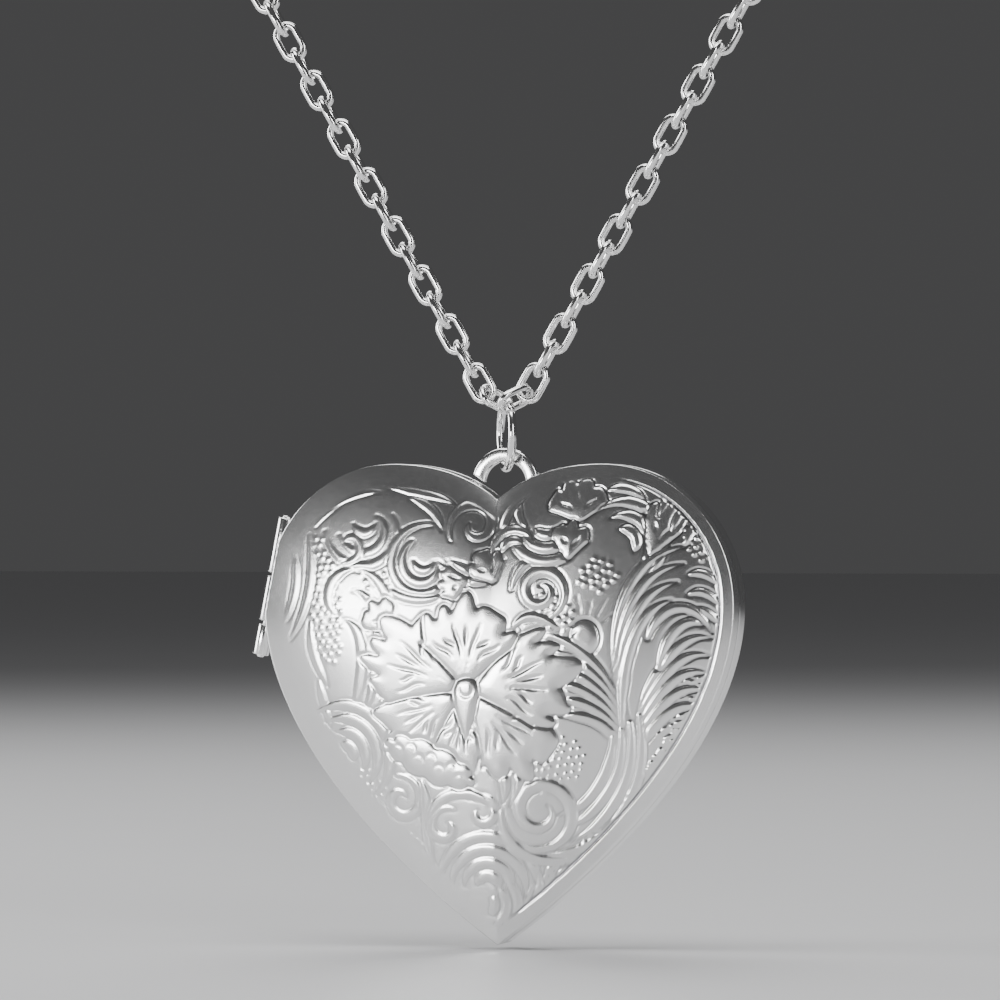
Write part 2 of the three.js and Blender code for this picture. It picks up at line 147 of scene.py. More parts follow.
LINK_WIRE = 0.62
LINK_WIDTH = 2.4
LINK_LENGTH = 3.66
LINK_ROWS = 18
CHAIN_LEAN = 29.9
LINK_GAP = 0.05
LOW_LINK_AXIS = Vector((1.76, 1.56, 1.0))
LOW_LINK_TWIST = 56.5
LOW_LINK_SEAT = (0.5855, -0.3355, 0.0592)
SECOND_LINK_SEAT = (1.5, 0, 0.9342)

END_WIRE = 0.7
END_RADIUS = 1.7

# The view and the studio floor are in metres, the bearing in degrees.
VIEW_AZIMUTH = 15
VIEW_DISTANCE = 0.60
VIEW_WIDTH = 0.25 / 3
VIEW_SHIFT = (-0.0003, 0, 0.00875)
FLOOR_SIZE = 3.0
FLOOR_GAP = 0.0004

UPWARD = Vector((0, 0, 1))
BACKWARD = Vector((0, 1, 0))

# The locket's own middle in the row frame: the level of its greatest width, at the parting plane.
front_low, front_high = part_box("front_cover")
MIDDLE = Vector((0.0, (front_high.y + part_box("back_cover")[0].y) / 2, front_low.z + TIP_DROP * MM))


# ---- heart outline ------------------------------------------------------------------------------

def bezier(a, b, c, d, count):
    """Points on one cubic curve, without its last point."""
    t = np.linspace(0, 1, count, endpoint=False)[:, None]
    a, b, c, d = (np.array(p, float) for p in (a, b, c, d))
    return (1 - t) ** 3 * a + 3 * t * (1 - t) ** 2 * b + 3 * t ** 2 * (1 - t) * c + t ** 3 * d


def heart_outline():
    """The right half from the cleft down to the tip, then the left half back up."""
    cleft_reach = LOBE_X * CLEFT_PULL
    tip_reach = TIP_DROP * TIP_PULL
    cleft, tip = math.radians(CLEFT_ANGLE), math.radians(TIP_ANGLE)
    parts = [
        bezier((0, CLEFT_RISE),
               (cleft_reach * math.cos(cleft), CLEFT_RISE + cleft_reach * math.sin(cleft)),
               (LOBE_X * LOBE_PULL, LOBE_RISE),
               (LOBE_X, LOBE_RISE), 80),
        bezier((LOBE_X, LOBE_RISE),
               (LOBE_X + (HALF_WIDTH - LOBE_X) * QUARTER_ROUND, LOBE_RISE),
               (HALF_WIDTH, LOBE_RISE * QUARTER_ROUND),
               (HALF_WIDTH, 0), 140),
        bezier((HALF_WIDTH, 0),
               (HALF_WIDTH, -TIP_DROP * SIDE_PULL),
               (tip_reach * math.sin(tip), -TIP_DROP + tip_reach * math.cos(tip)),
               (0, -TIP_DROP), 220),
    ]
    right = np.vstack(parts + [np.array([[0, -TIP_DROP]])])
    left = right[1:-1][::-1] * (-1, 1)
    return np.vstack([right, left])


OUTLINE = heart_outline()


def inset_outline(distance):
    """The outline moved inward by a distance, with mitred corners."""
    ahead = np.roll(OUTLINE, -1, axis=0) - OUTLINE
    ahead /= np.linalg.norm(ahead, axis=1)[:, None]
    behind = np.roll(ahead, 1, axis=0)
    out_a = np.stack([-ahead[:, 1], ahead[:, 0]], axis=1)
    out_b = np.stack([-behind[:, 1], behind[:, 0]], axis=1)
    mitre = (out_a + out_b) / (1 + np.sum(out_a * out_b, axis=1))[:, None]
    return OUTLINE - mitre * distance


def reach_of(outline):
    """A function from a turn about the loft centre to the outline's distance from it."""
    x, z = outline[:, 0], outline[:, 1] + LOFT_DROP
    turn = np.arctan2(z, x)
    order = np.argsort(turn)
    turn, reach = turn[order], np.hypot(x, z)[order]
    turn = np.concatenate([turn[-3:] - 2 * math.pi, turn, turn[:3] + 2 * math.pi])
    reach = np.concatenate([reach[-3:], reach, reach[:3]])
    return lambda angle: np.interp(angle, turn, reach)


def softened(reach, spread):
    """The same reach averaged over nearby turns, so that its corners round off."""
    turns = np.linspace(-math.pi, math.pi, 1441)
    steps = np.linspace(-2 * spread, 2 * spread, 41)
    weight = np.exp(-(steps / spread) ** 2)
    wrapped = (turns[:, None] + steps[None] + math.pi) % (2 * math.pi) - math.pi
    values = (reach(wrapped) * weight).sum(axis=1) / weight.sum()
    return lambda angle: np.interp(angle, turns, values)


REACH = reach_of(OUTLINE)
SOFT_REACH = softened(REACH, math.radians(16))


# ---- engraving ----------------------------------------------------------------------------------

class Engraving:
    """A height field over the front of the locket, in millimetres, that strokes are worked into."""

    def __init__(self):
        self.low = np.array([-HALF_WIDTH - 1, -TIP_DROP - 1])
        high = np.array([HALF_WIDTH + 1, LOBE_RISE + 1])
        self.raised = np.zeros(np.ceil((high - self.low) / CELL).astype(int) + 1)
        self.cut = np.zeros_like(self.raised)

    def window(self, low, high):
        """The slices of the field between two corners, and the places of their cells."""
        first = np.maximum(np.floor((low - self.low) / CELL).astype(int), 0)
        last = np.minimum(np.ceil((high - self.low) / CELL).astype(int) + 1, self.raised.shape)
        last = np.maximum(last, first + 1)
        x = self.low[0] + CELL * np.arange(first[0], last[0])
        z = self.low[1] + CELL * np.arange(first[1], last[1])
        return (slice(first[0], last[0]), slice(first[1], last[1])), x[:, None], z[None, :]

    def off_path(self, path, halves, margin=CLEAR):
        """Cells near a path, how far each lies beyond its edge, and the half width there."""
        path = np.asarray(path, float)
        along = np.linspace(0, 1, len(path))
        halves = np.interp(along, np.linspace(0, 1, len(halves)), halves)
        reach = halves.max() + margin
        cells, x, z = self.window(path.min(axis=0) - reach, path.max(axis=0) + reach)
        beyond = np.full((x.shape[0], z.shape[1]), np.inf)
        half = np.ones_like(beyond)
        for a, b, ha, hb in zip(path, path[1:], halves, halves[1:]):
            run = b - a
            length = max(float(run @ run), 1e-12)
            share = np.clip(((x - a[0]) * run[0] + (z - a[1]) * run[1]) / length, 0, 1)
            away = np.hypot(x - a[0] - share * run[0], z - a[1] - share * run[1])
            width = ha + (hb - ha) * share
            closer = away - width < beyond
            beyond = np.where(closer, away - width, beyond)
            half = np.where(closer, width, half)
        return cells, beyond, half

    def lay(self, cells, inside, height):
        """Puts a raised shape over whatever was worked there before."""
        self.raised[cells] = np.where(inside, height, self.raised[cells])
        self.cut[cells] = np.where(inside, 0, self.cut[cells])

    def score(self, cells, beyond, width, depth):
        """Cuts a rounded line where the distance is near nought."""
        line = depth * np.clip(1 - (2 * beyond / width) ** 2, 0, 1)
        self.cut[cells] = np.maximum(self.cut[cells], line)

    def groove(self, path, width=0.28, depth=0.09):
        """A fine cut line that thins to both ends."""
        cells, beyond, half = self.off_path(path, [HAIRLINE, width / 2, width / 2, HAIRLINE], 0.1)
        line = depth * np.sqrt(np.clip(-beyond / half, 0, 1))
        self.cut[cells] = np.maximum(self.cut[cells], line)

    def ribbon(self, path, widths):
        """A pillowy raised band with a fine line round it."""
        cells, beyond, half = self.off_path(path, [w / 2 for w in widths])
        share = np.clip(-beyond / half, 0, 1)
        pillow = np.minimum(RIBBON_HEIGHT, RIBBON_SLOPE * half) * share * (2 - share)
        self.lay(cells, beyond < 0, pillow)
        self.score(cells, beyond, RIBBON_LINE, RIBBON_LINE_DEPTH)

    def pad(self, outline, height, soft=1.2):
        """A pillowy raised area inside a closed outline, with a line round it."""
        outline = np.asarray(outline, float)
        ring = np.vstack([outline, outline[:1]])
        cells, beyond, _ = self.off_path(ring, [0.0, 0.0])
        _, x, z = self.window(ring.min(axis=0) - CLEAR, ring.max(axis=0) + CLEAR)
        inside = np.zeros_like(beyond, bool)
        for (ax, az), (bx, bz) in zip(ring, ring[1:]):
            if az != bz:
                inside ^= ((az > z) != (bz > z)) & (x < ax + (bx - ax) / (bz - az) * (z - az))
        share = np.clip(beyond / soft, 0, 1)
        self.lay(cells, inside, height * share * (2 - share))
        self.score(cells, beyond, PAD_LINE, PAD_LINE_DEPTH)

    def bead(self, x, z, radius, height):
        """One round grain, hidden where something stands higher."""
        centre = np.array([x, z])
        cells, cx, cz = self.window(centre - radius, centre + radius)
        dome = height * np.sqrt(np.clip(1 - (np.hypot(cx - x, cz - z) / radius) ** 2, 0, 1))
        self.raised[cells] = np.maximum(self.raised[cells], dome)

    def height(self):
        """Raised less cut, shallow on the left and crisp on the right."""
        x = self.low[0] + CELL * np.arange(self.raised.shape[0])
        depth = np.interp(x, DEPTH_ACROSS, DEPTH_SHARE)
        return softened_field(self.raised - self.cut) * depth[:, None]

    def at(self, x, z):
        """The finished height at scattered places, between cells in a straight line."""
        field = self.height()
        u = np.clip((x - self.low[0]) / CELL, 0, field.shape[0] - 1.001)
        v = np.clip((z - self.low[1]) / CELL, 0, field.shape[1] - 1.001)
        i, j = u.astype(int), v.astype(int)
        fu, fv = u - i, v - j
        near = field[i, j] * (1 - fu) + field[i + 1, j] * fu
        far = field[i, j + 1] * (1 - fu) + field[i + 1, j + 1] * fu
        return near * (1 - fv) + far * fv


def softened_field(field):
    """Each cell averaged with its eight neighbours, the near ones counting more."""
    across = (np.roll(field, 1, 0) + 2 * field + np.roll(field, -1, 0)) / 4
    return (np.roll(across, 1, 1) + 2 * across + np.roll(across, -1, 1)) / 4


def arc(x, z, radius, start, end, flat=1.0):
    """Points on part of a circle, or of an oval where flat isn't 1. Angles are in degrees."""
    turn = np.radians(np.linspace(start, end, max(8, int(abs(end - start) / 9))))
    return np.stack([x + radius * np.cos(turn), z + flat * radius * np.sin(turn)], axis=1)


def volute(x, z, radius, start, turns, inner=0.22):
    """Points winding in from a radius. Turns are negative for a clockwise scroll."""
    share = np.linspace(0, 1, max(16, int(abs(turns) * 36)))
    turn = math.radians(start) + 2 * math.pi * turns * share
    reach = radius * (1 - (1 - inner) * share ** 0.9)
    return np.stack([x + reach * np.cos(turn), z + reach * np.sin(turn)], axis=1)


def sweep(a, b, c, d, count=18):
    """Points on a cubic curve, with its last point."""
    return np.vstack([bezier(a, b, c, d, count), np.array([d], float)])


def band(work, path, wide, foot=0.35):
    """A scroll band that swells soon after its foot and thins to its tip."""
    work.ribbon(path, [foot, wide, wide, wide * 0.8, RIBBON_END])


def frond(work, a, b, c, d, wide, foot=0.35):
    """One scroll band bent through four guide points."""
    band(work, sweep(a, b, c, d), wide, foot)


def crescents(work, x, z, radii, start, end, wide=1.0, trim=12):
    """Crescents one inside the other, the inner ones shorter."""
    for k in reversed(range(len(radii))):
        less = trim * (len(radii) - 1 - k)
        widths = [RIBBON_END, wide, wide, wide, RIBBON_END]
        work.ribbon(arc(x, z, radii[k], start + less, end - less), widths)


def leaf_outline(x, z, aim, length, spread, lobes):
    """A broad leaf or petal that fans out from its foot to an edge of rounded lobes."""
    share = np.linspace(0, 1, 14 * lobes + 1)
    within = (lobes * (share + 0.05 * np.sin(9 * share + aim))) % 1
    lobe = np.sin(math.pi * within ** 0.7) ** 0.75 * (0.8 + 0.2 * np.sin(17 * share + 2 * aim))
    crown = 1 - 0.26 * np.abs(2 * share - 1) ** 1.6
    edge = crown * (1 - LOBE_CUT * (1 - lobe))
    reach = length * np.concatenate([[LEAF_FOOT, LEAF_WAIST], edge, [LEAF_WAIST, LEAF_FOOT]])
    spots = np.concatenate([[-0.32, -0.47], share - 0.5, [0.47, 0.32]])
    turn = np.radians(aim + spread * spots)
    return np.stack([x + reach * np.cos(turn), z + reach * np.sin(turn)], axis=1)


def lobed_leaf(work, x, z, aim, length, spread, lobes, veins):
    """A lobed leaf or petal with veins that run out from its foot."""
    def spot(reach, turn):
        return x + reach * math.cos(turn), z + reach * math.sin(turn)

    work.pad(leaf_outline(x, z, aim, length, spread, lobes), LEAF_HEIGHT)
    for k in range(veins):
        share = (k + 0.5) / veins - 0.5
        start = math.radians(aim + share * spread * 0.55)
        end = math.radians(aim + share * spread * 0.9)
        near = length * (0.34 + 0.10 * (k % 2))
        far = length * (0.74 - 0.35 * abs(share) - 0.08 * (k % 2))
        middle = (near + far) / 2
        vein = sweep(spot(near, start), spot(middle, start), spot(middle, end), spot(far, end), 8)
        work.groove(vein, 0.28, 0.11)


# The petals from the lowest up: aim, length, spread and lobes of each.
PETALS = ((262, 7.4, 70, 4), (206, 9.0, 66, 4), (-40, 9.8, 74, 4),
          (152, 10.2, 72, 5), (12, 10.4, 76, 5), (88, 8.6, 92, 5))


def flower(work, x, z):
    """An open flower: overlapping petals round a drop-shaped throat with short rays above it."""
    for aim, length, spread, lobes in PETALS:
        lobed_leaf(work, x, z, aim, length, spread, lobes, 7)
    foot, crown = (x + 0.1, z - 4.2), (x + 0.2, z + 1.3)
    left = sweep(foot, (x - 0.9, z - 2.2), (x - 1.8, z + 1.3), crown, 12)
    right = sweep(crown, (x + 2.1, z + 1.2), (x + 0.8, z - 2.2), foot, 12)
    work.pad(np.vstack([left, right]), 0.13, 0.9)
    work.groove(arc(x + 0.1, z + 0.2, 0.55, 150, 400))
    for turn in range(150, 39, -22):
        work.groove(ray(x, z, turn, 1.7, 2.6), 0.24, 0.07)


def ray(x, z, turn, near, far):
    """A straight stroke that points away from a place."""
    aim = np.array([math.cos(math.radians(turn)), math.sin(math.radians(turn))])
    return np.array([(x, z) + near * aim, (x, z) + far * aim])


def leant(x, z, along, across, lean):
    """Places given along and across a leaning line through a point."""
    c, s = math.cos(math.radians(lean)), math.sin(math.radians(lean))
    return np.stack([x + along * c - across * s, z + along * s + across * c], axis=-1)


def bud(work, x, z, lean):
    """A long knobbly bud: a lumpy outline with small rounds along its middle."""
    turn = np.linspace(0, 2 * math.pi, 72, endpoint=False)
    along = 4.1 * np.cos(turn) + 0.20 * np.cos(11 * turn)
    across = 1.5 * np.sin(turn) + 0.18 * np.sin(11 * turn)
    work.pad(leant(x, z, along, across, lean), 0.15)
    for k in range(-3, 4):
        cx, cz = leant(x, z, k * 0.98, 0.28 * (-1) ** k, lean)
        start = lean + 10 * k
        work.groove(arc(cx, cz, 0.42, start, start + 190), 0.22, 0.08)


def grains(work, x, z, wide, high, lean, seed):
    """Stippling: small beads in staggered rows inside an oval."""
    pick = np.random.default_rng(seed)
    rows, columns = int(high / GRAIN_GAP) + 1, int(wide / GRAIN_GAP) + 1
    for i in range(-rows, rows + 1):
        for j in range(-columns, columns + 1):
            u = (j + 0.5 * (i % 2)) * GRAIN_GAP + pick.uniform(-GRAIN_SCATTER, GRAIN_SCATTER)
            v = i * GRAIN_GAP * 0.87 + pick.uniform(-GRAIN_SCATTER, GRAIN_SCATTER)
            if (u / wide) ** 2 + (v / high) ** 2 < 1:
                work.bead(*leant(x, z, u, v, lean), GRAIN_RADIUS, GRAIN_HEIGHT)


def plume(work):
    """A tall feathery leaf on the right: strands fan out from one stem on three sides."""
    for k in range(6):
        tip = (4.0 + 0.25 * k, -2.2 - 1.35 * k)
        frond(work, (10.9, -11.6 - 0.3 * k), (10.6, -6.6 - 0.6 * k), (8.6, -3.0 - 1.2 * k), tip, 1.0)
    for k in range(5):
        tip = (18.3 - 0.1 * k, -2.6 - 1.5 * k)
        frond(work, (12.2, -9.6 - 0.6 * k), (13.2, -6.2 - k), (15.6, -1.8 - 1.3 * k), tip, 0.95)
    for k in range(4):
        foot, tip = (11.9 - 0.3 * k, -11.4), (16.6 - 0.5 * k, 5.0 - 1.5 * k)
        frond(work, foot, (9.4 + 0.4 * k, -3.6), (10.2 + 0.8 * k, 4.4 - 1.5 * k), tip, 0.95)
    frond(work, (13.2, -2.6), (14.0, 0.4), (17.2, 1.0), (18.4, -2.2), 0.9)
    frond(work, (14.0, -5.2), (14.6, -1.8), (16.6, -0.6), (17.6, -1.6), 0.9)
    for k in range(4):
        foot = (12.4 - 0.75 * k, -9.0 - 0.6 * k)
        tip = (6.9 - 0.5 * k, -20.6 + 1.1 * k)
        frond(work, foot, (13.2 - 1.0 * k, -13.6), (11.2 - 1.0 * k, -18.4 + 0.5 * k), tip, 1.0, 0.5)


def lobe_left(work):
    """Upper left: bowls of crescents, a scroll at the cleft and long leaf lines by the hinge."""
    band(work, volute(-11.0, 6.4, 3.7, 185, 0.56, 0.7), 0.9)
    band(work, volute(-11.0, 6.4, 2.5, 195, 0.60, 0.55), 0.9)
    band(work, arc(-11.2, 7.0, 1.0, 200, 350), 0.85)
    band(work, volute(-5.9, 3.4, 3.4, 80, 0.80, 0.6), 0.9)
    band(work, volute(-5.9, 3.4, 2.2, 120, 0.70, 0.5), 0.9)
    band(work, arc(-5.9, 3.8, 0.9, 190, 350), 0.8)
    band(work, volute(-1.6, 6.6, 2.3, 210, -1.15), 0.95)
    crescents(work, -1.4, 6.0, (3.1, 4.0), 215, 300, 0.8)
    frond(work, (-15.6, 6.6), (-13.4, 9.4), (-10.4, 10.6), (-7.6, 10.5), 0.8)
    frond(work, (-9.0, 9.8), (-6.8, 9.4), (-5.0, 9.2), (-3.4, 8.4), 0.8)
    band(work, volute(-12.6, 5.0, 1.6, 250, 0.7), 0.8)
    frond(work, (-15.0, 7.6), (-13.8, 8.8), (-12.0, 9.4), (-10.0, 9.4), 0.7)
    frond(work, (-9.4, 1.6), (-7.6, 0.2), (-5.4, 0.2), (-4.0, 1.0), 0.8)
    frond(work, (-7.2, 8.9), (-5.6, 8.4), (-4.6, 7.4), (-4.4, 6.2), 0.8)
    frond(work, (-17.6, 4.6), (-16.8, 2.2), (-17.6, -0.6), (-18.9, -2.2), 0.8)
    frond(work, (-16.2, 5.8), (-15.4, 2.6), (-16.2, -0.6), (-18.0, -3.2), 0.85)


def side_left(work):
    """Left: a tall bean-shaped leaf scroll, then rounds of arcs below it."""
    frond(work, (-15.9, -1.4), (-16.0, -4.2), (-15.2, -5.2), (-14.4, -6.8), 0.8)
    frond(work, (-15.2, -6.4), (-14.8, -8.0), (-14.6, -8.8), (-14.2, -10.2), 0.8)
    frond(work, (-10.0, -9.2), (-7.6, -3.6), (-8.0, 3.2), (-12.4, 3.0), 1.15)
    frond(work, (-11.2, -9.4), (-9.2, -4.6), (-9.4, 1.4), (-12.2, 1.2), 1.1)
    frond(work, (-12.4, -9.4), (-10.8, -5.6), (-10.8, -1.6), (-13.0, -1.2), 1.1)
    frond(work, (-12.2, 3.0), (-14.6, 2.6), (-14.9, -0.2), (-13.4, -0.9), 1.0)
    crescents(work, -13.2, -12.6, (1.0, 2.1, 3.2, 4.3), -55, 130, 1.0)
    lobed_leaf(work, -8.4, -2.6, 128, 4.0, 80, 3, 2)


def foot_left(work):
    """Lower left: a small scroll with its leaves, and a pair of curls."""
    band(work, volute(-8.0, -16.2, 2.1, 100, -1.2), 0.95)
    frond(work, (-6.2, -14.6), (-5.2, -16.6), (-6.6, -19.6), (-5.0, -22.0), 1.0)
    frond(work, (-11.6, -16.8), (-10.4, -19.2), (-8.6, -19.8), (-7.4, -19.6), 0.8)
    band(work, volute(-4.2, -18.4, 1.7, 60, 1.05), 0.9)
    band(work, volute(-1.0, -17.2, 1.6, 130, -1.0), 0.9)
    frond(work, (-5.7, -18.2), (-5.4, -15.2), (-1.4, -14.6), (0.5, -17.2), 0.95)


def lower_tip(work):
    """The point: a large scroll above nested arcs."""
    crescents(work, -0.6, -23.4, (1.0, 2.1, 3.2, 4.3), -20, 190, 1.0, 6)
    crescents(work, -1.0, -24.8, (0.9, 1.9, 2.9), -75, 60, 0.85, 6)
    frond(work, (3.7, -22.2), (4.2, -24.0), (2.6, -25.8), (0.8, -27.0), 0.8)
    crescents(work, 6.2, -23.0, (1.0, 2.0), 40, 170, 0.8)
    frond(work, (4.6, -20.6), (7.0, -20.8), (9.6, -19.0), (11.2, -16.8), 0.9)
    band(work, volute(4.0, -17.0, 3.4, 225, 1.5), 1.15)
    frond(work, (0.7, -17.0), (0.6, -20.4), (3.6, -22.0), (7.6, -20.6), 1.05)


def lobe_right(work):
    """Upper right: a scroll, bowls of crescents, toothed leaves and finger leaves at the rim."""
    lobed_leaf(work, 0.4, 1.6, 118, 3.6, 90, 3, 2)
    lobed_leaf(work, -1.6, 2.2, 190, 3.4, 80, 3, 2)
    band(work, volute(4.2, 1.2, 2.3, -80, 1.5), 1.0)
    frond(work, (1.7, 1.4), (2.0, 3.6), (3.6, 4.4), (5.4, 3.8), 0.8)
    crescents(work, 4.6, 7.2, (1.3, 2.4, 3.5), 195, 335, 0.95)
    frond(work, (2.2, 10.0), (1.6, 8.4), (2.0, 6.8), (3.4, 5.9), 0.8)
    lobed_leaf(work, 7.4, 6.6, 96, 4.4, 120, 4, 3)
    lobed_leaf(work, 6.4, 3.4, 84, 4.0, 76, 3, 2)
    crescents(work, 11.0, 5.2, (1.2, 2.3, 3.4), -60, 130, 0.95)
    frond(work, (9.8, 9.6), (10.8, 9.9), (12.0, 9.6), (12.8, 8.8), 0.8)
    lobed_leaf(work, 13.0, 3.4, 68, 6.4, 52, 3, 2)
    for k in range(3):
        x, z = 14.6 + 1.05 * k, 8.8 - 1.25 * k
        frond(work, (x - 0.6, z - 1.4), (x - 0.2, z - 0.2), (x + 0.3, z + 0.5), (x + 1.0, z + 0.6), 0.8)
    work.pad(arc(7.9, -2.6, 1.3, 0, 351, 1.15), 0.12, 0.8)
    work.groove(arc(7.5, -2.7, 0.7, 100, 260))
    for k in range(6):
        work.groove(ray(7.9, -2.6, 40 + 20 * k, 2.0, 3.1 + 0.5 * (k % 2)), 0.34, 0.10)
    frond(work, (0.8, 5.6), (0.6, 7.4), (1.8, 8.8), (3.4, 9.8), 0.8)
    crescents(work, 1.8, 4.4, (1.0, 1.9), 30, 190, 0.75)
    frond(work, (2.0, -1.6), (3.0, -0.4), (4.6, -0.8), (6.0, -2.2), 0.8)
    for k in range(3):
        foot, tip = (16.6, 2.6 - 1.6 * k), (19.3, 1.4 - 1.6 * k)
        frond(work, foot, (17.4, 3.0 - 1.5 * k), (18.4, 2.6 - 1.5 * k), tip, 0.7)


def rim_beads(work):
    """A row of grains beside the rim line on the lower right."""
    row = inset_outline(1.8)
    row = row[(row[:, 0] > 2.6) & (row[:, 1] < -9.0)]
    for x, z in row[::4]:
        work.bead(x, z, 0.2, 0.09)


# The stippled patches: place, half width, half height and lean of each.
GRAIN_PATCHES = (
    (-14.6, 0.4, 1.6, 5.8, 6), (-9.4, 2.6, 2.4, 1.6, 0), (9.0, 2.6, 1.7, 1.6, -20),
    (17.2, 5.6, 1.5, 2.2, 20), (16.2, -8.6, 2.2, 3.4, -30), (4.6, -13.0, 3.4, 2.4, 10),
    (8.6, -20.4, 4.6, 1.2, 42), (-10.2, -15.4, 2.4, 1.0, -50), (5.2, -0.6, 2.2, 1.4, -40),
    (12.8, -14.8, 3.6, 1.2, 56), (4.2, -25.0, 2.6, 0.8, 42), (-3.6, 1.2, 2.0, 1.0, 0),
    (-7.0, -20.2, 1.8, 0.8, -45),
)


def engrave():
    """The whole front, worked from the ground up: grains, scrolls and leaves, then the flower."""
    work = Engraving()
    for seed, patch in enumerate(GRAIN_PATCHES, 2):
        grains(work, *patch, seed)
    for area in (lobe_left, lobe_right, side_left, plume, foot_left, lower_tip):
        area(work)
    frond(work, (-0.6, -12.0), (1.6, -11.0), (3.4, -13.8), (1.4, -16.6), 1.1)
    frond(work, (-1.0, -12.2), (0.4, -12.8), (1.8, -14.4), (0.8, -16.4), 1.0)
    flower(work, -2.3, -7.2)
    bud(work, -5.4, -13.0, -24)
    rim_beads(work)
    return work


# ---- covers -------------------------------------------------------------------------------------

def hinge_line():
    """A point on the cover hinge and its direction, in millimetres from the locket's middle."""
    low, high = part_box("hinge_pin")
    centre = ((low + high) / 2 - MIDDLE) / MM
    lean = math.radians(HINGE_LEAN)
    return np.array(centre), np.array([math.sin(lean), 0.0, math.cos(lean)])


HINGE_POINT, HINGE_AXIS = hinge_line()
seat_low = min(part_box(name)[0].z for name in ("hinge_knuckle_bottom", "hinge_knuckle_top"))
seat_high = max(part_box(name)[1].z for name in ("hinge_knuckle_bottom", "hinge_knuckle_top"))
SEAT_HALF = (seat_high - seat_low) / 2 / MM + HINGE_SEAT_SLACK
HINGE_IN = np.array([HINGE_AXIS[2], 0.0, -HINGE_AXIS[0]])


def seated(place):
    """Moves points that lie in the hinge's seat to its floor: a flat beside the pin and a round bed."""
    away = place - HINGE_POINT
    along = away @ HINGE_AXIS
    inward = away @ HINGE_IN
    within = np.abs(along) < SEAT_HALF
    bed = np.sqrt(np.clip(HINGE_SEAT ** 2 - away[:, 1] ** 2, 0, None))
    floor = np.maximum(HINGE_SEAT_INSET, bed)
    shift = np.where(within & (np.abs(away[:, 1]) < HINGE_SEAT_DEPTH), np.maximum(floor - inward, 0), 0)
    return place + shift[:, None] * HINGE_IN


def grid_on_disc(u, v):
    """A square grid bent on to a disc: the turn and the share of the way out of each corner."""
    x = u * np.sqrt(1 - v ** 2 / 2)
    y = v * np.sqrt(1 - u ** 2 / 2)
    return np.arctan2(y, x), np.minimum(np.hypot(x, y), 1.0)


def dome_rise(share):
    return DOME_RISE * (1 - share ** DOME_FULLNESS)


def face_place(turn, share):
    """Where a point of a cover's face lies, seen from the front."""
    blend = share ** FACE_BLEND
    reach = SOFT_REACH(turn) * (1 - blend) + REACH(turn) * blend
    x = share * reach * np.cos(turn)
    z = share * reach * np.sin(turn) - LOFT_DROP
    return x, z


def edges_of(geom):
    return [g for g in geom if isinstance(g, bmesh.types.BMEdge)]


def next_ring(bm, edges, place, turn_layer):
    """Extrudes the open edge by one ring and puts each new point where place(turns) says."""
    new = bmesh.ops.extrude_edge_only(bm, edges=edges)["geom"]
    verts = [g for g in new if isinstance(g, bmesh.types.BMVert)]
    fresh = set(verts)
    edges = [e for e in edges_of(new) if fresh.issuperset(e.verts)]
    turns = np.array([v[turn_layer] for v in verts])
    for vert, point in zip(verts, place(turns)):
        vert.co = point
    return edges, verts


def ring_at(side, inset, depth, share=1.0):
    """Where points at their turns lie on the inset outline, or on a share of it, at a depth."""
    inner = reach_of(inset_outline(inset))

    def points(turns):
        blend = share ** FACE_BLEND
        radius = share * (SOFT_REACH(turns) * (1 - blend) + inner(turns) * blend)
        return np.stack([radius * np.cos(turns), np.full(len(turns), side * depth),
                         radius * np.sin(turns) - LOFT_DROP], axis=1)
    return points


def worked(work, turn, x, z):
    """The engraving's height: fading to a plain band at the edge, with one line beside it."""
    room = reach_of(inset_outline(RIM_BAND))(turn) - np.hypot(x, z + LOFT_DROP)
    plain = LEFT_BAND * np.clip(-x / LEFT_BAND_FROM, 0, 1)
    line = np.clip(1 - (2 * room / RIM_LINE) ** 2, 0, 1)
    line *= np.interp(np.degrees(turn), RIM_LINE_TURNS, (0, 1, 1, 0))
    return work.at(x, z) * np.clip((room - plain) / RIM_FADE, 0, 1) - RIM_LINE_DEPTH * line


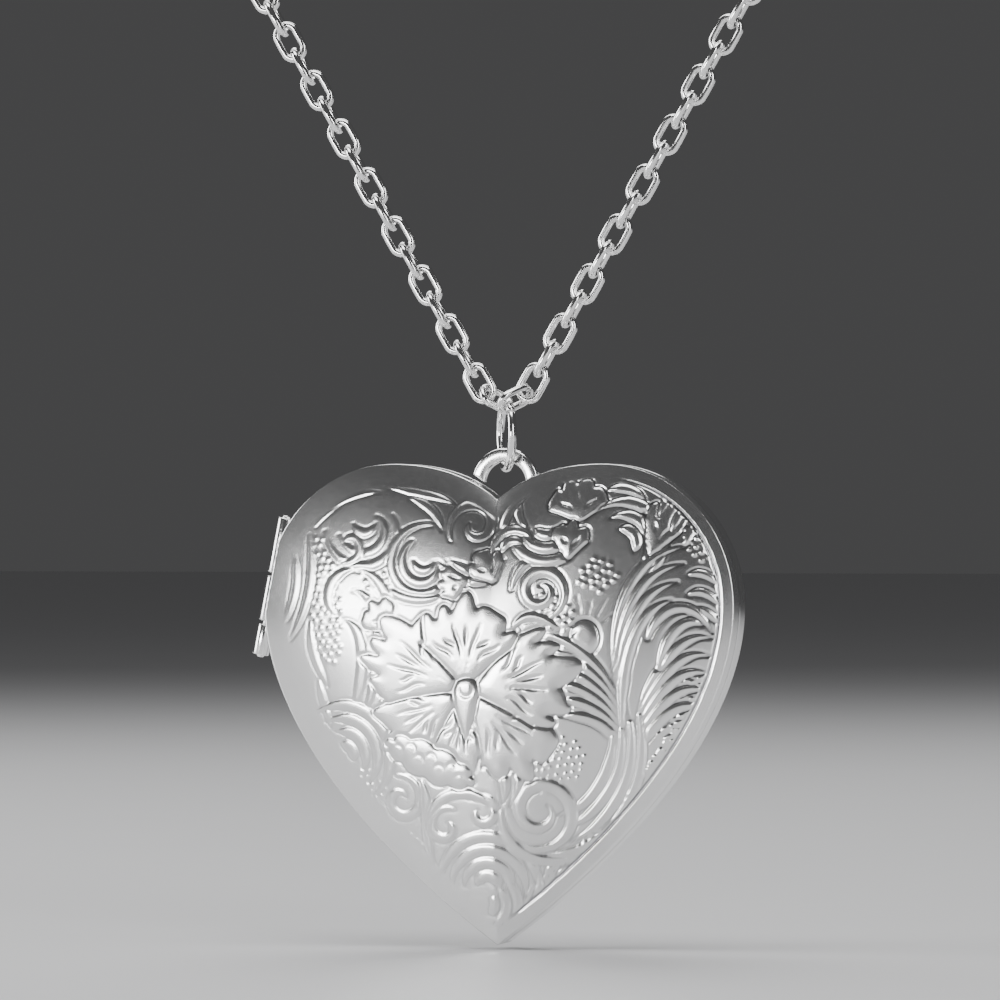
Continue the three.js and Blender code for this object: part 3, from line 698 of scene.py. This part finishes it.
def cover_mesh(name, side, cells, work=None):
    """A domed cover: a fine face, its rim, a rolled lip and a plain inside."""
    bm = bmesh.new()
    bmesh.ops.create_grid(bm, x_segments=cells, y_segments=cells, size=1.0)
    turn_layer = bm.verts.layers.float.new("turn")
    depth_layer = bm.verts.layers.float.new("relief")
    grid = np.array([v.co[:2] for v in bm.verts])
    turn, share = grid_on_disc(grid[:, 0], grid[:, 1])
    x, z = face_place(turn, share)
    relief = worked(work, turn, x, z) if work else np.zeros(len(x))
    rise = COVER_WALL + dome_rise(share)
    place = seated(np.stack([x, side * (rise + relief), z], axis=1))
    for vert, point, angle, depth in zip(bm.verts, place, turn, relief):
        vert.co = point
        vert[turn_layer] = angle
        vert[depth_layer] = depth

    lip = PARTING_GAP / 2
    roof = COVER_WALL - SHEET
    rim = [(0, level) for level in RIM_LEVELS]
    rim += [(0, lip + 0.1), (LIP_EASE, lip), (SHEET - LIP_EASE, lip), (SHEET, lip + LIP_EASE)]
    rim += [(SHEET, 1.0), (SHEET, roof)]
    edges = [e for e in bm.edges if e.is_boundary]
    for inset, depth in rim:
        ring = ring_at(side, inset, depth)
        edges, verts = next_ring(bm, edges, lambda turns, ring=ring: seated(ring(turns)), turn_layer)
    for share_in in INSIDE_SHARES:
        ring = ring_at(side, SHEET, roof + dome_rise(share_in), share_in)
        edges, verts = next_ring(bm, edges, ring, turn_layer)
    middle = (0, side * (roof + DOME_RISE), -LOFT_DROP)
    edges, verts = next_ring(bm, edges, lambda turns: np.tile(middle, (len(turns), 1)), turn_layer)
    bmesh.ops.pointmerge(bm, verts=verts, merge_co=middle)
    into_place(bm)
    return finished(bm, name)


def into_place(bm):
    """From millimetres about the locket's middle to metres in the row frame."""
    bmesh.ops.scale(bm, verts=bm.verts, vec=(MM, MM, MM))
    bmesh.ops.translate(bm, verts=bm.verts, vec=MIDDLE)
    bmesh.ops.recalc_face_normals(bm, faces=bm.faces)


def finished(bm, name, smooth=True):
    """Turns a bmesh into an object and frees it."""
    mesh = bpy.data.meshes.new(name)
    for face in bm.faces:
        face.smooth = smooth
    bm.to_mesh(mesh)
    bm.free()
    piece = bpy.data.objects.new(name, mesh)
    bpy.context.scene.collection.objects.link(piece)
    return piece


def stand_in(piece, node, body, finish):
    """The piece takes a CAD node's place on its body, in the given finish."""
    piece.data.materials.clear()
    piece.data.materials.append(finish)
    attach(piece, body)
    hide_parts(node)


# ---- finishes -----------------------------------------------------------------------------------

class Sock:
    """A shader socket that takes part in sums: each operator adds one Math node."""

    def __init__(self, finish, socket):
        self.finish = finish
        self.socket = socket

    def math(self, operation, *values):
        return self.finish.node("ShaderNodeMath", {"operation": operation}, values)

    def __add__(self, other):
        return self.math("ADD", self, other)

    def __radd__(self, other):
        return self.math("ADD", other, self)

    def __sub__(self, other):
        return self.math("SUBTRACT", self, other)

    def __rsub__(self, other):
        return self.math("SUBTRACT", other, self)

    def __mul__(self, other):
        return self.math("MULTIPLY", self, other)

    def __rmul__(self, other):
        return self.math("MULTIPLY", other, self)

    def clamped(self):
        return self.finish.node("ShaderNodeMath", {"operation": "ADD", "use_clamp": True}, (self, 0.0))


class Finish:
    """One procedural material and the nodes it is made of."""

    def __init__(self, name):
        self.material = bpy.data.materials.new(name)
        self.material.use_nodes = True
        self.tree = self.material.node_tree
        self.shader = self.tree.nodes["Principled BSDF"]

    def node(self, kind, settings=None, values=(), output=0):
        """Adds a node, makes its settings, then feeds its inputs, by place or by name."""
        node = self.tree.nodes.new(kind)
        for key, value in (settings or {}).items():
            setattr(node, key, value)
        pairs = values.items() if isinstance(values, dict) else enumerate(values)
        for key, value in pairs:
            self.feed(node.inputs[key], value)
        return Sock(self, node.outputs[output])

    def feed(self, target, value):
        if isinstance(value, Sock):
            self.tree.links.new(value.socket, target)
        else:
            target.default_value = value

    def set(self, **values):
        for key, value in values.items():
            self.feed(self.shader.inputs[key.replace("_", " ")], value)

    def place(self):
        return self.node("ShaderNodeTexCoord", output=3)

    def noise(self, scale, detail=2.0, stretch=None):
        place = self.place()
        if stretch:
            place = self.node("ShaderNodeMapping", {}, {"Vector": place, "Scale": stretch})
        return self.node("ShaderNodeTexNoise", {}, {"Vector": place, "Scale": scale, "Detail": detail})

    def mix(self, share, first, second):
        """A colour between two colours."""
        return self.node("ShaderNodeMix", {"data_type": "RGBA"}, {0: share, 6: first, 7: second}, 2)

    def bump(self, height, strength, distance):
        values = {"Strength": strength, "Distance": distance, "Height": height}
        return self.node("ShaderNodeBump", {}, values)


def silver(name, rough, groove_shade=0.0):
    """Bright silver with soft polish marks and faint scratches; painted shade greys what is cut deep,
    standing in for the shade that falls in the grooves.
    """
    finish = Finish(name)
    cloud = finish.noise(160.0, 4.0)
    grain = finish.noise(2600.0, 3.0)
    scratch = finish.noise(900.0, 2.0, (1.0, 1.0, 14.0))
    light = (0.93, 0.93, 0.925, 1)
    dull = (0.80, 0.80, 0.80, 1)
    colour = finish.mix((cloud * 1.6 - 0.45).clamped(), light, dull)
    if groove_shade:
        # Painted shade: the deeper the engraving is cut, the darker its colour, as if shade lay in the
        # grooves.
        relief = finish.node("ShaderNodeAttribute", {"attribute_name": "relief"}, (), 2)
        painted_shade_mask = (relief * -16.0 - 0.1).clamped()
        colour = finish.mix(painted_shade_mask * groove_shade, colour, (0.16, 0.16, 0.17, 1))
    finish.set(Base_Color=colour, Metallic=1.0)
    finish.set(Roughness=(rough + (cloud - 0.5) * 0.10 + (grain - 0.5) * 0.06).clamped())
    bumps = grain * 0.6 + scratch * 0.4
    finish.set(Normal=finish.bump(bumps, 0.12, 0.00002))
    return finish.material


# The 0.75 sets how dark the painted shade in the engraved grooves is.
ENGRAVED = silver("engraved_silver", 0.20, 0.75)
POLISHED = silver("polished_silver", 0.14)
WIRE = silver("drawn_silver_wire", 0.12)
STEEL = silver("steel_wire", 0.28)

work = engrave()
front = cover_mesh("front_cover_shell", -1, FACE_CELLS, work)
stand_in(front, "front_cover", "locket_front", ENGRAVED)
back = cover_mesh("back_cover_shell", 1, BACK_CELLS)
stand_in(back, "back_cover", "locket_back", POLISHED)


# ---- small parts --------------------------------------------------------------------------------

def rounded_section(low, high, near, far, round_off, steps):
    """A rounded rectangle in the XZ plane, open as a loop of edges, for spinning about Z."""
    bm = bmesh.new()
    bmesh.ops.create_grid(bm, x_segments=1, y_segments=1, size=0.5,
                          matrix=Matrix.Rotation(math.pi / 2, 4, "X"))
    bmesh.ops.scale(bm, verts=bm.verts, vec=(far - near, 1, high - low))
    bmesh.ops.translate(bm, verts=bm.verts, vec=((near + far) / 2, 0, (low + high) / 2))
    bmesh.ops.bevel(bm, geom=bm.verts[:], affect="VERTICES", offset=round_off, segments=steps,
                    profile=0.5, material=-1)
    bmesh.ops.delete(bm, geom=bm.faces[:], context="FACES_ONLY")
    return bm


def spun(bm, around, turn=2 * math.pi):
    """Spins the loop about Z, all the way round or through a part turn with capped ends."""
    whole = abs(turn - 2 * math.pi) < 1e-9
    ends = bm.edges[:]
    last = bmesh.ops.spin(bm, geom=bm.verts[:] + bm.edges[:], cent=(0, 0, 0), axis=(0, 0, 1),
                          dvec=(0, 0, 0), angle=turn, steps=around, use_merge=whole)["geom_last"]
    if not whole:
        for loop in (ends, edges_of(last)):
            bmesh.ops.contextual_create(bm, geom=loop)
    return bm


def wire_loop(wire, radius, sides):
    """The round section of a wire, as a loop at a radius from Z."""
    bm = bmesh.new()
    upright = Matrix.Translation((radius, 0, 0)) @ Matrix.Rotation(math.pi / 2, 4, "X")
    bmesh.ops.create_circle(bm, segments=sides, radius=wire / 2, matrix=upright)
    return bm


def placed(bm, centre, x_axis, z_axis):
    """Turns a small part so that its X and Z point along two directions, and moves it, in mm."""
    z = Vector(z_axis).normalized()
    x = Vector(x_axis)
    x = (x - z * x.dot(z)).normalized()
    turn = Matrix((x, z.cross(x), z)).transposed().to_4x4()
    bmesh.ops.transform(bm, verts=bm.verts, matrix=Matrix.Translation(Vector(centre)) @ turn)
    bmesh.ops.scale(bm, verts=bm.verts, vec=(MM, MM, MM))
    bmesh.ops.recalc_face_normals(bm, faces=bm.faces)
    return bm


def oval_link():
    """A wire link standing along Z in the XZ plane: a ring pulled apart at its middle."""
    bm = spun(wire_loop(LINK_WIRE, (LINK_WIDTH - LINK_WIRE) / 2, 12), 32)
    bmesh.ops.rotate(bm, verts=bm.verts, cent=(0, 0, 0), matrix=Matrix.Rotation(math.pi / 2, 3, "X"))
    stretch = (LINK_LENGTH - LINK_WIDTH) / 2
    for side in (-1, 1):
        moved = [v for v in bm.verts if v.co.z * side > 0.05]
        bmesh.ops.translate(bm, verts=moved, vec=(0, 0, side * stretch))
    return bm


def arm(side):
    """The direction up one arm of the chain."""
    lean = math.radians(CHAIN_LEAN)
    return Vector((side * math.sin(lean), 0, math.cos(lean)))


def on_arm(side, vector):
    return Vector((vector[0] * side, vector[1] * side, vector[2]))


def box_middle(node):
    """The middle of a CAD node's box, in millimetres."""
    low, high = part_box(node)
    return (low + high) / 2 / MM


def low_link_across():
    """The flat direction of the lowest right link: level, then turned about the link's own axis."""
    axis = LOW_LINK_AXIS.normalized()
    level = Vector((axis.z, 0, -axis.x)).normalized()
    twist = math.radians(LOW_LINK_TWIST)
    return level * math.cos(twist) + axis.cross(level) * math.sin(twist)


def chain_arm(name, side, top):
    """One arm of links, from the one crossed on the jump ring up to the end ring."""
    half = (LINK_LENGTH - LINK_WIRE) / 2
    pitch = 2 * half - LINK_WIRE - LINK_GAP
    for row in range(1, LINK_ROWS + 1):
        up = arm(side)
        centre = top + on_arm(side, SECOND_LINK_SEAT) * half + up * (row - 2) * pitch
        wide = BACKWARD.cross(up) if row % 2 == 0 else BACKWARD
        if row == 1:
            centre = top + on_arm(side, LOW_LINK_SEAT) * half
            up, wide = on_arm(side, LOW_LINK_AXIS), on_arm(side, low_link_across())
        link = finished(placed(oval_link(), centre, wide, up), f"{name}_link_{row:02d}_wire")
        stand_in(link, f"{name}_link_{row:02d}", f"chain_row_{row:02d}", WIRE)
    ring = spun(wire_loop(END_WIRE, END_RADIUS, 14), 40)
    placed(ring, box_middle(f"{name}_end_ring"), arm(side), arm(side).cross(BACKWARD))
    stand_in(finished(ring, f"{name}_end_ring_wire"), f"{name}_end_ring", "held_ends", WIRE)


def jump_ring():
    """A heavier ring bent round, whose two ends meet in a fine butt near its top."""
    turn = math.radians(RING_TURN)
    ring = spun(wire_loop(RING_WIRE, RING_RADIUS, 16), 56, 2 * math.pi - RING_BUTT)
    facing = Vector((math.cos(turn), math.sin(turn), 0))
    butt = UPWARD.lerp(facing.cross(UPWARD), 0.55)
    placed(ring, box_middle("jump_ring"), butt, facing)
    stand_in(finished(ring, "jump_ring_wire"), "jump_ring", "jump_ring", WIRE)


def bail():
    """A flat ring with softened edges, its two feet cut to the cleft."""
    centre = MIDDLE / MM + BAIL_RISE * UPWARD
    centre.y = box_middle("bail").y
    section = rounded_section(-BAIL_THICK / 2, BAIL_THICK / 2, BAIL_HOLE, BAIL_RADIUS, BAIL_EASE, 4)
    bm = placed(spun(section, 72), centre, (1, 0, 0), BACKWARD)
    slope = math.radians(CLEFT_ANGLE - BAIL_FOOT_SLACK)
    foot = MIDDLE + (CLEFT_RISE + BAIL_FOOT_GAP) * MM * UPWARD
    for side in (-1, 1):
        cut = Vector((side * math.sin(slope), 0, -math.cos(slope)))
        geom = bm.verts[:] + bm.edges[:] + bm.faces[:]
        made = bmesh.ops.bisect_plane(bm, geom=geom, dist=1e-8, plane_co=foot, plane_no=cut,
                                      clear_outer=True)
        bmesh.ops.holes_fill(bm, edges=edges_of(made["geom_cut"]), sides=0)
    bmesh.ops.recalc_face_normals(bm, faces=bm.faces)
    stand_in(finished(bm, "bail_ring"), "bail", "locket_back", POLISHED)


def rod(radius, length, sides, round_off):
    """A turned rod along Z with eased ends."""
    bm = bmesh.new()
    bmesh.ops.create_cone(bm, cap_ends=True, segments=sides, radius1=radius, radius2=radius, depth=length)
    rims = [e for e in bm.edges if abs(e.verts[0].co.z - e.verts[1].co.z) < 1e-6]
    bmesh.ops.bevel(bm, geom=rims, affect="EDGES", offset=round_off, segments=3, profile=0.5, material=-1)
    return bm


def length_on_hinge(node, radius):
    """How long a leaning round piece is, from the height of its box."""
    low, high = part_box(node)
    lean = math.radians(HINGE_LEAN)
    return ((high.z - low.z) / MM - 2 * radius * math.sin(lean)) / math.cos(lean)


def hinge():
    """Three turned knuckles on one pin with rounded heads."""
    for name, body in (("top", "locket_back"), ("middle", "locket_front"), ("bottom", "locket_back")):
        node = f"hinge_knuckle_{name}"
        half = length_on_hinge(node, KNUCKLE_RADIUS) / 2
        section = rounded_section(-half, half, PIN_RADIUS + PIN_CLEARANCE, KNUCKLE_RADIUS, HINGE_EASE, 3)
        bm = placed(spun(section, 40), box_middle(node), BACKWARD, HINGE_AXIS)
        stand_in(finished(bm, f"{node}_tube"), node, body, POLISHED)
    bm = rod(PIN_RADIUS, length_on_hinge("hinge_pin", PIN_RADIUS), 24, HINGE_EASE)
    placed(bm, box_middle("hinge_pin"), BACKWARD, HINGE_AXIS)
    stand_in(finished(bm, "hinge_pin_rod"), "hinge_pin", "locket_back", STEEL)


def photo_frame(name, side, body):
    """A flat heart-shaped ring with softened edges that holds a picture in its cover."""
    outer, inner = SHEET + FRAME_CLEARANCE, SHEET + FRAME_CLEARANCE + FRAME_WIDTH
    near, far, ease = FRAME_SET_BACK, FRAME_SET_BACK + FRAME_DEPTH, FRAME_EASE
    bm = bmesh.new()
    bmesh.ops.create_circle(bm, segments=360, radius=1.0)
    turn_layer = bm.verts.layers.float.new("turn")
    for vert in bm.verts:
        vert[turn_layer] = math.atan2(vert.co.y, vert.co.x)
    turns = np.array([v[turn_layer] for v in bm.verts])
    for vert, point in zip(bm.verts, ring_at(side, outer, far - ease)(turns)):
        vert.co = point
    first = edges = bm.edges[:]
    for inset, depth in ((outer, near + ease), (outer + ease, near), (inner - ease, near),
                         (inner, near + ease), (inner, far - ease), (inner - ease, far),
                         (outer + ease, far)):
        edges, _ = next_ring(bm, edges, ring_at(side, inset, depth), turn_layer)
    bmesh.ops.bridge_loops(bm, edges=first + edges)
    into_place(bm)
    stand_in(finished(bm, name + "_ring"), name, body, POLISHED)


def eased_copy(node, body, finish, ease):
    """A CAD piece with its corners merged and its sharp edges eased."""
    bm = bmesh.new()
    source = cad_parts[node]
    bm.from_mesh(source.data)
    bmesh.ops.transform(bm, verts=bm.verts, matrix=source.matrix_world)
    bmesh.ops.scale(bm, verts=bm.verts, vec=(1 / MM, 1 / MM, 1 / MM))
    bmesh.ops.remove_doubles(bm, verts=bm.verts, dist=0.002)
    bmesh.ops.dissolve_limit(bm, angle_limit=math.radians(1), verts=bm.verts, edges=bm.edges)
    sharp = [e for e in bm.edges if len(e.link_faces) == 2 and e.calc_face_angle(0) > math.radians(35)]
    bmesh.ops.bevel(bm, geom=sharp, affect="EDGES", offset=ease, segments=3, profile=0.5, material=-1,
                    clamp_overlap=True)
    bmesh.ops.remove_doubles(bm, verts=bm.verts, dist=0.001)
    bmesh.ops.scale(bm, verts=bm.verts, vec=(MM, MM, MM))
    bmesh.ops.recalc_face_normals(bm, faces=bm.faces)
    stand_in(finished(bm, node + "_eased"), node, body, finish)


ring_top = box_middle("jump_ring") + RING_RADIUS * UPWARD
chain_arm("left", -1, ring_top)
chain_arm("right", 1, ring_top)
jump_ring()
bail()
hinge()
photo_frame("front_photo_frame", -1, "locket_front")
photo_frame("back_photo_frame", 1, "locket_back")
eased_copy("latch_tongue", "locket_front", POLISHED, 0.08)
eased_copy("latch_catch", "locket_back", POLISHED, 0.06)
eased_copy("clasp_body", "held_ends", POLISHED, 0.18)
eased_copy("clasp_lever", "clasp_lever", POLISHED, 0.16)
eased_copy("clasp_pivot", "held_ends", STEEL, 0.06)
eased_copy("clasp_spring", "held_ends", STEEL, 0.04)


# ---- stage, lights and camera -------------------------------------------------------------------

def flat_finish(name, colour, rough):
    finish = Finish(name)
    speck = finish.noise(40.0, 3.0)
    dusty = tuple(c * 0.96 for c in colour[:3]) + (1,)
    finish.set(Base_Color=finish.mix((speck * 0.5).clamped(), colour, dusty))
    finish.set(Roughness=rough)
    return finish.material


def floor():
    bm = bmesh.new()
    bmesh.ops.create_grid(bm, x_segments=1, y_segments=1, size=FLOOR_SIZE)
    bmesh.ops.translate(bm, verts=bm.verts, vec=(0, 0, CAD_BOX[0][2] - FLOOR_GAP))
    piece = finished(bm, "studio_floor", smooth=False)
    piece.data.materials.append(flat_finish("pale_floor", (0.78, 0.78, 0.79, 1), 0.42))


def soft_light(name, azimuth, elevation, distance, width, height, power):
    """A soft panel that faces the locket from a bearing: 0 is straight in front, 90 its right."""
    data = bpy.data.lights.new(name, "AREA")
    data.shape = "RECTANGLE"
    data.size, data.size_y, data.energy = width, height, power
    lamp = bpy.data.objects.new(name, data)
    a, e = math.radians(azimuth), math.radians(elevation)
    away = Vector((math.sin(a) * math.cos(e), -math.cos(a) * math.cos(e), math.sin(e)))
    lamp.location = MIDDLE + away * distance
    lamp.rotation_euler = (-away).to_track_quat("-Z", "Y").to_euler()
    lamp.visible_camera = False
    bpy.context.scene.collection.objects.link(lamp)


floor()
soft_light("key", -24, -6, 0.62, 0.20, 0.24, 2.6)
soft_light("side_left", -75, 12, 0.6, 0.30, 0.40, 2.4)
soft_light("side_right", 42, 10, 0.6, 0.10, 0.40, 1.2)
soft_light("top", 0, 75, 0.5, 0.40, 0.30, 1.7)
soft_light("back", 205, 52, 0.6, 0.50, 0.40, 2.2)

world = bpy.data.worlds.new("studio")
world.use_nodes = True
world.node_tree.nodes["Background"].inputs["Color"].default_value = (0.55, 0.55, 0.56, 1)
world.node_tree.nodes["Background"].inputs["Strength"].default_value = 0.12
bpy.context.scene.world = world


def camera():
    """A long lens at the locket's height, a little to its right."""
    azimuth = math.radians(VIEW_AZIMUTH)
    view = bpy.data.cameras.new("camera")
    view.sensor_width = 36
    view.lens = view.sensor_width * VIEW_DISTANCE / VIEW_WIDTH
    view.clip_start = 0.01
    eye = bpy.data.objects.new("camera", view)
    away = Vector((math.sin(azimuth), -math.cos(azimuth), 0))
    eye.location = MIDDLE + Vector(VIEW_SHIFT) + away * VIEW_DISTANCE
    eye.rotation_euler = (math.pi / 2, 0, azimuth)
    bpy.context.scene.collection.objects.link(eye)
    bpy.context.scene.camera = eye


camera()
